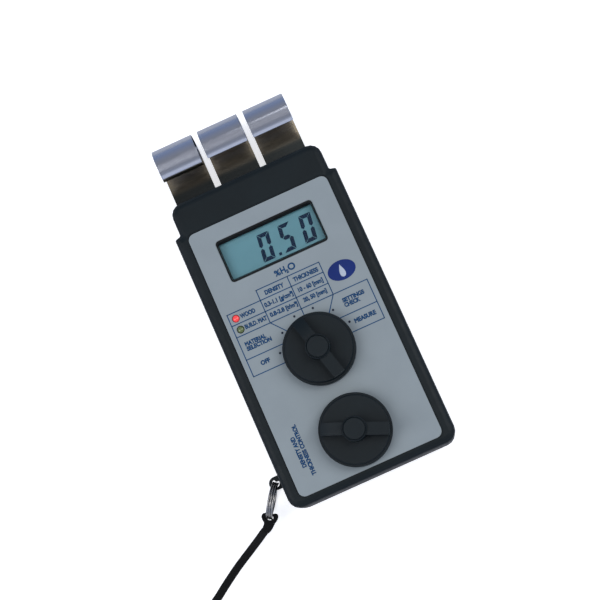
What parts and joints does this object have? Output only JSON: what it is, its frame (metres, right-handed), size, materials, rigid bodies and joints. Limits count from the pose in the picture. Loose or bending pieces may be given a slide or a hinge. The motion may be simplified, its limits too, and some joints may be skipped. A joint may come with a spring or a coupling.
{
  "type": "moisture meter",
  "caption": "Handheld moisture meter with a small display, two round control knobs, hooked spring electrodes on the top end and a wrist strap.",
  "frame": {"origin": "middle of the flat rear face of the case, which lies on the table", "axes": "+X to the meter's right, +Y along the meter towards the electrodes, +Z out of the front face"},
  "size_m": [0.1774, 0.2487, 0.0434],
  "materials": {
    "case": "satin moulded, fine texture",
    "label": "satin grey-blue printed film",
    "bezel": "satin black",
    "clear": "clear polished acrylic",
    "lcd": "reflective display, satin",
    "elastomer": "striped contact rubber",
    "board": "green solder mask",
    "chip": "matt black",
    "lamp_red": "translucent epoxy, lit",
    "lamp_green": "translucent epoxy, unlit",
    "knob": "satin moulded",
    "housing": "matt",
    "steel": "zinc plated",
    "ring_steel": "nickel plated wire",
    "stainless": "bright rolled strip",
    "brass": "turned",
    "nylon": "natural nylon",
    "battery": "satin",
    "foam": "open foam",
    "red_wire": "insulation",
    "black_wire": "insulation",
    "grey_wire": "insulation",
    "strap": "woven nylon"
  },
  "bodies": {
    "root": {"front_shell": "case", "rear_shell": "case", "front_label": "label", "display_frame": "bezel", "display_window": "clear", "display_lcd": "lcd", "display_holder": "nylon", "elastomer_lower": "elastomer", "elastomer_upper": "elastomer", "lamp_red": "lamp_red", "lamp_green": "lamp_green", "main_board": "board", "measuring_chip": "chip", "display_chip": "chip", "selector_switch": "housing", "density_potentiometer": "housing", "selector_nut": "steel", "density_nut": "steel", "potentiometer_ribbon": "grey_wire", "electrode_lead_left": "grey_wire", "electrode_lead_middle": "grey_wire", "electrode_lead_right": "grey_wire", "electrode_block": "nylon", "electrode_clamp": "nylon", "clamp_screw_1": "steel", "clamp_screw_2": "steel", "battery": "battery", "battery_snap": "black_wire", "snap_lead_red": "red_wire", "snap_lead_black": "black_wire", "battery_foam": "foam", "case_screw_1": "steel", "case_screw_2": "steel", "case_screw_3": "steel", "case_screw_4": "steel", "board_screw_1": "steel", "board_screw_2": "steel", "board_screw_3": "steel", "board_screw_4": "steel"},
    "selector": {"selector_knob": "knob", "selector_cap": "knob", "selector_collet": "brass", "selector_shaft": "steel"},
    "density": {"density_knob": "knob", "density_cap": "knob", "density_collet": "brass", "density_shaft": "steel"},
    "electrode_l": {"electrode_left": "stainless"},
    "electrode_m": {"electrode_middle": "stainless"},
    "electrode_r": {"electrode_right": "stainless"},
    "door": {"battery_door": "case"},
    "strap": {"split_ring": "ring_steel", "strap_eye": "strap", "strap_cord": "strap", "strap_coil": "strap", "strap_tie": "strap", "strap_stopper": "knob"}
  },
  "joints": [
    {"name": "selector_turn", "type": "hinge", "parent": "root", "child": "selector", "pos_m": [0, -0.0136, 0.037], "axis": [0, 0, 1], "range_deg": [-90, 60]},
    {"name": "density_turn", "type": "hinge", "parent": "root", "child": "density", "pos_m": [0, -0.0527, 0.037], "axis": [0, 0, 1], "range_deg": [-217, 83]},
    {"name": "electrode_l_flex", "type": "hinge", "parent": "root", "child": "electrode_l", "pos_m": [-0.02445, 0.0651, 0.008], "axis": [1, 0, 0], "range_deg": [-6, 3], "stiffness_Nm_per_rad": 1.5},
    {"name": "electrode_m_flex", "type": "hinge", "parent": "root", "child": "electrode_m", "pos_m": [-0.0014, 0.0651, 0.008], "axis": [1, 0, 0], "range_deg": [-6, 3], "stiffness_Nm_per_rad": 1.5},
    {"name": "electrode_r_flex", "type": "hinge", "parent": "root", "child": "electrode_r", "pos_m": [0.02165, 0.0651, 0.008], "axis": [1, 0, 0], "range_deg": [-6, 3], "stiffness_Nm_per_rad": 1.5},
    {"name": "battery_door_slide", "type": "slide", "parent": "root", "child": "door", "axis": [0, -1, 0], "range_m": [0, 0.031]},
    {"name": "strap_ring_swing", "type": "hinge", "parent": "root", "child": "strap", "pos_m": [-0.0437, -0.0584, 0.0089], "axis": [0, 0, 1], "range_deg": [-30, 15]}
  ]
}
